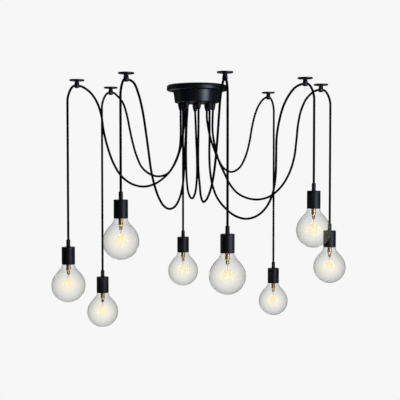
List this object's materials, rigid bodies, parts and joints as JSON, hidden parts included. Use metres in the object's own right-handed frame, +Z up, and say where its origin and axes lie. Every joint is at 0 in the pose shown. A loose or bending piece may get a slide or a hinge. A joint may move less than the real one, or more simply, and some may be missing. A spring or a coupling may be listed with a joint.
{
  "type": "spider pendant light",
  "caption": "Ceiling pendant light with a stepped round canopy, black textile cords swagged over small ceiling hooks, and bare clear globe lamps in plain cylindrical holders.",
  "frame": {"origin": "the canopy's centre on the ceiling plane, in the middle of the mounting strap's top face", "axes": "+Z up, +X to the right along the widest spread of the lamps, +Y away from the viewer"},
  "size_m": [0.8496, 0.7364, 0.7397],
  "materials": {
    "satin_black_metal": "satin black paint",
    "gland_nylon": "matte black nylon",
    "textile_cord": "braided black textile sleeve",
    "strap_steel": "zinc plated",
    "lamp_brass": "polished",
    "lamp_glass": "clear"
  },
  "bodies": {
    "fixed": {"canopy_pan": "satin_black_metal", "canopy_cup": "satin_black_metal", "mounting_strap": "strap_steel", "cap_nut": "satin_black_metal", "cord_gland_1": "gland_nylon", "cord_gland_2": "gland_nylon", "cord_gland_3": "gland_nylon", "cord_gland_4": "gland_nylon", "cord_gland_5": "gland_nylon", "cord_gland_6": "gland_nylon", "cord_gland_7": "gland_nylon", "cord_gland_8": "gland_nylon", "ceiling_hook_1": "satin_black_metal", "ceiling_hook_2": "satin_black_metal", "ceiling_hook_3": "satin_black_metal", "ceiling_hook_4": "satin_black_metal", "ceiling_hook_5": "satin_black_metal", "ceiling_hook_6": "satin_black_metal", "ceiling_hook_7": "satin_black_metal", "ceiling_hook_8": "satin_black_metal", "swag_cord_1": "textile_cord", "swag_cord_2": "textile_cord", "swag_cord_3": "textile_cord", "swag_cord_4": "textile_cord", "swag_cord_5": "textile_cord", "swag_cord_6": "textile_cord", "swag_cord_7": "textile_cord", "swag_cord_8": "textile_cord"},
    "pendant_1": {"drop_cord_1": "textile_cord", "lamp_holder_1": "satin_black_metal"},
    "lamp_1": {"lamp_base_1": "lamp_brass", "lamp_globe_1": "lamp_glass"},
    "pendant_2": {"drop_cord_2": "textile_cord", "lamp_holder_2": "satin_black_metal"},
    "lamp_2": {"lamp_base_2": "lamp_brass", "lamp_globe_2": "lamp_glass"},
    "pendant_3": {"drop_cord_3": "textile_cord", "lamp_holder_3": "satin_black_metal"},
    "lamp_3": {"lamp_base_3": "lamp_brass", "lamp_globe_3": "lamp_glass"},
    "pendant_4": {"drop_cord_4": "textile_cord", "lamp_holder_4": "satin_black_metal"},
    "lamp_4": {"lamp_base_4": "lamp_brass", "lamp_globe_4": "lamp_glass"},
    "pendant_5": {"drop_cord_5": "textile_cord", "lamp_holder_5": "satin_black_metal"},
    "lamp_5": {"lamp_base_5": "lamp_brass", "lamp_globe_5": "lamp_glass"},
    "pendant_6": {"drop_cord_6": "textile_cord", "lamp_holder_6": "satin_black_metal"},
    "lamp_6": {"lamp_base_6": "lamp_brass", "lamp_globe_6": "lamp_glass"},
    "pendant_7": {"drop_cord_7": "textile_cord", "lamp_holder_7": "satin_black_metal"},
    "lamp_7": {"lamp_base_7": "lamp_brass", "lamp_globe_7": "lamp_glass"},
    "pendant_8": {"drop_cord_8": "textile_cord", "lamp_holder_8": "satin_black_metal"},
    "lamp_8": {"lamp_base_8": "lamp_brass", "lamp_globe_8": "lamp_glass"}
  },
  "joints": [
    {"name": "pendant_swing_1", "type": "hinge", "parent": "fixed", "child": "pendant_1", "pos_m": [-0.36002, -0.17403, -0.0668], "axis": [-0.8794, -0.476, 0], "range_deg": [-15, 15]},
    {"name": "lamp_turn_1", "type": "hinge", "parent": "pendant_1", "child": "lamp_1", "pos_m": [-0.36002, -0.17403, -0.51745], "axis": [0, 0, -1], "range_deg": [0, 810]},
    {"name": "pendant_swing_2", "type": "hinge", "parent": "fixed", "child": "pendant_2", "pos_m": [-0.29161, 0.06576, -0.0668], "axis": [-0.9904, 0.138, 0], "range_deg": [-15, 15]},
    {"name": "lamp_turn_2", "type": "hinge", "parent": "pendant_2", "child": "lamp_2", "pos_m": [-0.29161, 0.06576, -0.6325], "axis": [0, 0, -1], "range_deg": [0, 810]},
    {"name": "pendant_swing_3", "type": "hinge", "parent": "fixed", "child": "pendant_3", "pos_m": [-0.19451, -0.36432, -0.0668], "axis": [-0.4491, -0.8935, 0], "range_deg": [-15, 15]},
    {"name": "lamp_turn_3", "type": "hinge", "parent": "pendant_3", "child": "lamp_3", "pos_m": [-0.19451, -0.36432, -0.37729], "axis": [0, 0, -1], "range_deg": [0, 810]},
    {"name": "pendant_swing_4", "type": "hinge", "parent": "fixed", "child": "pendant_4", "pos_m": [-0.04445, 0.15406, -0.0668], "axis": [-0.3474, 0.9377, 0], "range_deg": [-15, 15]},
    {"name": "lamp_turn_4", "type": "hinge", "parent": "pendant_4", "child": "lamp_4", "pos_m": [-0.04445, 0.15406, -0.5157], "axis": [0, 0, -1], "range_deg": [0, 810]},
    {"name": "pendant_swing_5", "type": "hinge", "parent": "fixed", "child": "pendant_5", "pos_m": [0.0798, -0.38676, -0.0668], "axis": [0.2151, -0.9766, 0], "range_deg": [-15, 15]},
    {"name": "lamp_turn_5", "type": "hinge", "parent": "pendant_5", "child": "lamp_5", "pos_m": [0.0798, -0.38676, -0.46431], "axis": [0, 0, -1], "range_deg": [0, 810]},
    {"name": "pendant_swing_6", "type": "hinge", "parent": "fixed", "child": "pendant_6", "pos_m": [0.25267, 0.25462, -0.0668], "axis": [0.7158, 0.6983, 0], "range_deg": [-15, 15]},
    {"name": "lamp_turn_6", "type": "hinge", "parent": "pendant_6", "child": "lamp_6", "pos_m": [0.25267, 0.25462, -0.62783], "axis": [0, 0, -1], "range_deg": [0, 810]},
    {"name": "pendant_swing_7", "type": "hinge", "parent": "fixed", "child": "pendant_7", "pos_m": [0.32013, -0.2332, -0.0668], "axis": [0.8122, -0.5834, 0], "range_deg": [-15, 15]},
    {"name": "lamp_turn_7", "type": "hinge", "parent": "pendant_7", "child": "lamp_7", "pos_m": [0.32013, -0.2332, -0.35802], "axis": [0, 0, -1], "range_deg": [0, 810]},
    {"name": "pendant_swing_8", "type": "hinge", "parent": "fixed", "child": "pendant_8", "pos_m": [0.39459, -0.03395, -0.0668], "axis": [0.9937, -0.1124, 0], "range_deg": [-15, 15]},
    {"name": "lamp_turn_8", "type": "hinge", "parent": "pendant_8", "child": "lamp_8", "pos_m": [0.39459, -0.03395, -0.48183], "axis": [0, 0, -1], "range_deg": [0, 810]}
  ]
}
